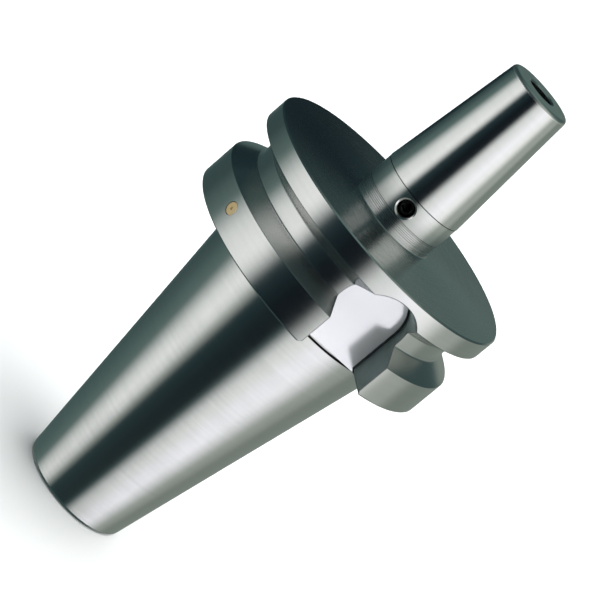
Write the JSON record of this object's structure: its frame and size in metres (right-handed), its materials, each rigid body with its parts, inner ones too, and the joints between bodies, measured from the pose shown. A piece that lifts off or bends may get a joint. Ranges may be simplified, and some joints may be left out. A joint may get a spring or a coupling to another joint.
{
  "type": "shrink fit chuck",
  "caption": "Shrink fit chuck with a steep 7/24 taper, V-grooved flange with drive slots and a slim conical nose with a plain shank bore.",
  "frame": {"origin": "centre of the taper's gauge line, on the axis", "axes": "+Z along the axis towards the nose, +X through the middle of one drive slot"},
  "size_m": [0.1, 0.1, 0.2018],
  "materials": {
    "ground_steel": "ground, satin to bright",
    "black_oxide_steel": "black oxide",
    "seal_rubber": "matte",
    "brass_pad": "turned",
    "copper_plug": "dull, copper coloured"
  },
  "bodies": {
    "chuck": {"chuck_body": "ground_steel", "passage_plug_near": "copper_plug", "passage_plug_far": "copper_plug"},
    "adjuster_seal": {"adjusting_screw_seal": "seal_rubber"},
    "adjuster": {"length_adjusting_screw": "black_oxide_steel"},
    "locking_pad": {"locking_screw_pad": "brass_pad"},
    "locking_screw": {"radial_locking_screw": "black_oxide_steel"}
  },
  "joints": [
    {"name": "adjuster_travel", "type": "slide", "parent": "chuck", "child": "adjuster_seal", "axis": [0, 0, 1], "range_m": [-0.005, 0.005]},
    {"name": "adjuster_turn", "type": "hinge", "parent": "adjuster_seal", "child": "adjuster", "pos_m": [0, 0, 0.055], "axis": [0, 0, 1], "range_deg": [-1830, 1830]},
    {"name": "locking_travel", "type": "slide", "parent": "chuck", "child": "locking_pad", "axis": [0.8988, -0.4384, 0], "range_m": [0, 0.002]},
    {"name": "locking_turn", "type": "hinge", "parent": "locking_pad", "child": "locking_screw", "pos_m": [0.00578, -0.00282, 0.0471], "axis": [0.8988, -0.4384, 0], "range_deg": [-10, 730]}
  ],
  "couplings": [
    {"joint": "adjuster_turn", "follows": "adjuster_travel", "rad_per_m": 6283.2},
    {"joint": "locking_turn", "follows": "locking_travel", "rad_per_m": 6283.2}
  ]
}
